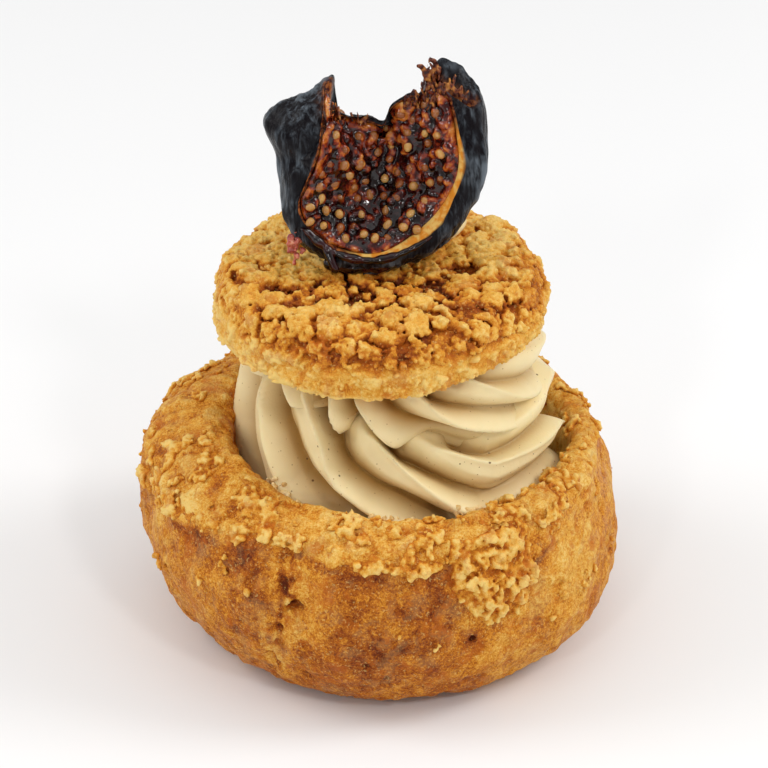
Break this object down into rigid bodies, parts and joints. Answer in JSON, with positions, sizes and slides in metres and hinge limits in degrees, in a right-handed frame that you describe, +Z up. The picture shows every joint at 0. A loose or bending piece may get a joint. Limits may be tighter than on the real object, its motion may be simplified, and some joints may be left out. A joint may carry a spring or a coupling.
{
  "type": "filled choux bun",
  "caption": "Hollowed choux bun with piped cream rising from it, the crumble-topped cap set on the cream and a dried fig half standing on the cap.",
  "frame": {"origin": "on the resting plane, under the middle of the whole object's box", "axes": "+Z up, +X to the right and -Y to the front, the side the fig's cut face looks to"},
  "size_m": [0.067, 0.0654, 0.0818],
  "materials": {
    "choux": "dry baked crust, uneven golden brown",
    "crumble": "coarse baked crumble, pale gold on brown",
    "cream": "smooth piped cream, softly glossy with fine dark specks",
    "fig": "wrinkled blue-black skin, wet red-brown flesh with pale seeds"
  },
  "bodies": {
    "root": {"choux_shell": "choux", "piped_cream": "cream", "choux_cap": "crumble", "cream_dab": "cream", "fig_half": "fig"}
  },
  "joints": []
}
